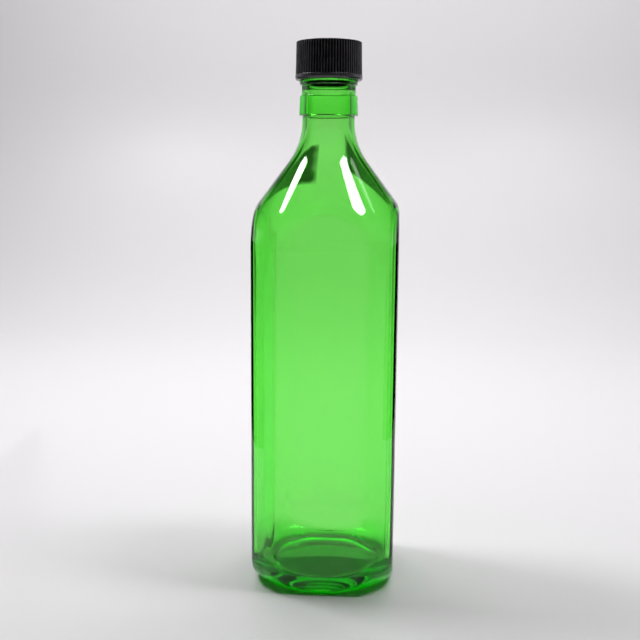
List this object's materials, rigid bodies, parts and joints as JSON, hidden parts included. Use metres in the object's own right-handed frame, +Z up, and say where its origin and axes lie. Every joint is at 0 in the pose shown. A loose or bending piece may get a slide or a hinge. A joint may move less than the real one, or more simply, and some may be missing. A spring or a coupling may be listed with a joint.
{
  "type": "glass oil bottle",
  "caption": "Tall square-sectioned green glass oil bottle with rounded corners, sloping shoulder, banded neck and a black ribbed screw cap with a disc liner",
  "frame": {"origin": "the middle of the base, on the plane the bottle stands on", "axes": "+Z up along the bottle's axis, -Y out of the front flat, +X out of the right-hand flat"},
  "size_m": [0.07, 0.07, 0.2632],
  "materials": {
    "green_glass": "clear, polished",
    "black_cap": "satin moulded",
    "liner_board": "matt",
    "liner_film": "smooth"
  },
  "bodies": {
    "bottle": {"bottle": "green_glass"},
    "liner": {"liner_board": "liner_board", "liner_facing": "liner_film"},
    "cap": {"cap_shell": "black_cap"}
  },
  "joints": [
    {"name": "cap_rise", "type": "slide", "parent": "bottle", "child": "liner", "axis": [0, 0, 1], "range_m": [0, 0.0255]},
    {"name": "cap_turn", "type": "hinge", "parent": "liner", "child": "cap", "pos_m": [0, 0, 0.2543], "axis": [0, 0, 1], "range_deg": [0, 2160]}
  ],
  "couplings": [
    {"joint": "cap_rise", "follows": "cap_turn", "m_per_rad": 0.00067376}
  ]
}
